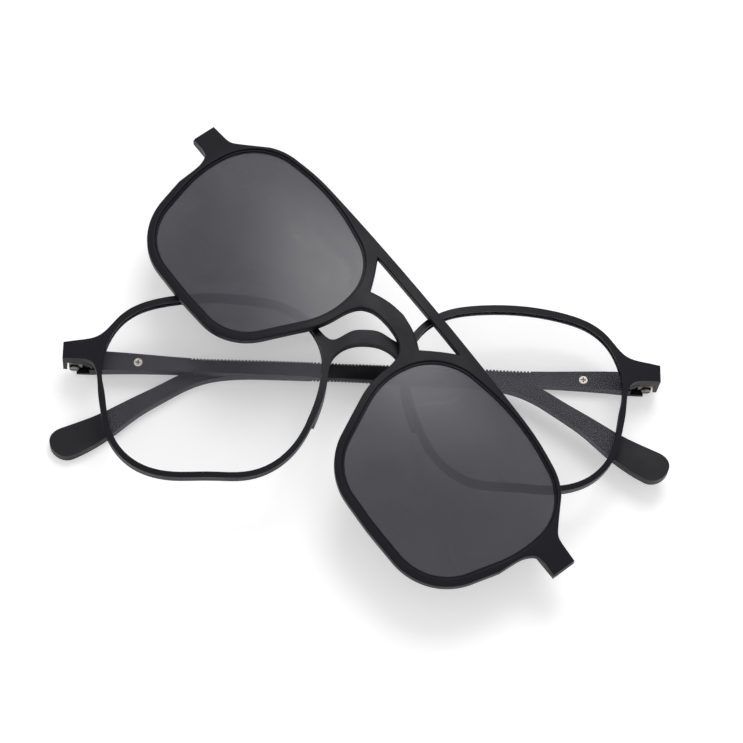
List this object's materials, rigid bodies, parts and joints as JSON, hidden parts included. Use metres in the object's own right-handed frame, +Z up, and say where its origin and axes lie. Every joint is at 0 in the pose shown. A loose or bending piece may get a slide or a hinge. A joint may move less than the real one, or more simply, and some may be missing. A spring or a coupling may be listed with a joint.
{
  "type": "magnetic clip on glasses",
  "caption": "Optical glasses lying on their folded temples, with a dark magnetic sun clip laid aslant across the front.",
  "frame": {"origin": "middle of the bounding box, on the surface the folded glasses lie on", "axes": "+X along the front towards the right hinge as seen from in front, +Y from chin to brow, +Z up, out of the front"},
  "size_m": [0.1416, 0.113, 0.022],
  "materials": {
    "frame_plastic": "matte black moulded nylon",
    "clear_lens": "clear acrylic demonstration lens",
    "sun_lens": "dark grey polarised lens",
    "hinge_metal": "plain nickel silver",
    "screw_metal": "bright plated screw",
    "magnet_metal": "nickel-plated magnet"
  },
  "bodies": {
    "front": {"front_frame": "frame_plastic", "left_demo_lens": "clear_lens", "right_demo_lens": "clear_lens", "left_front_hinge": "hinge_metal", "right_front_hinge": "hinge_metal", "left_hinge_screw": "screw_metal", "right_hinge_screw": "screw_metal", "left_frame_magnet": "magnet_metal", "right_frame_magnet": "magnet_metal"},
    "left_temple_body": {"left_temple": "frame_plastic", "left_temple_hinge": "hinge_metal", "left_temple_screw": "screw_metal"},
    "right_temple_body": {"right_temple": "frame_plastic", "right_temple_hinge": "hinge_metal", "right_temple_screw": "screw_metal"},
    "clip": {"clip_frame": "frame_plastic", "left_clip_lens": "sun_lens", "right_clip_lens": "sun_lens", "left_clip_magnet": "magnet_metal", "right_clip_magnet": "magnet_metal"}
  },
  "joints": [
    {"name": "left_temple_hinge", "type": "hinge", "parent": "front", "child": "left_temple_body", "pos_m": [-0.06596, -0.00112, 0.00503], "axis": [0, 1, 0], "range_deg": [-0.3, 0.4]},
    {"name": "right_temple_hinge", "type": "hinge", "parent": "front", "child": "right_temple_body", "pos_m": [0.06642, -0.00112, 0.0026], "axis": [0, -1, 0], "range_deg": [0, 89]},
    {"name": "clip_lift", "type": "slide", "parent": "front", "child": "clip", "axis": [0, 0, 1], "range_m": [0, 0.035]}
  ]
}
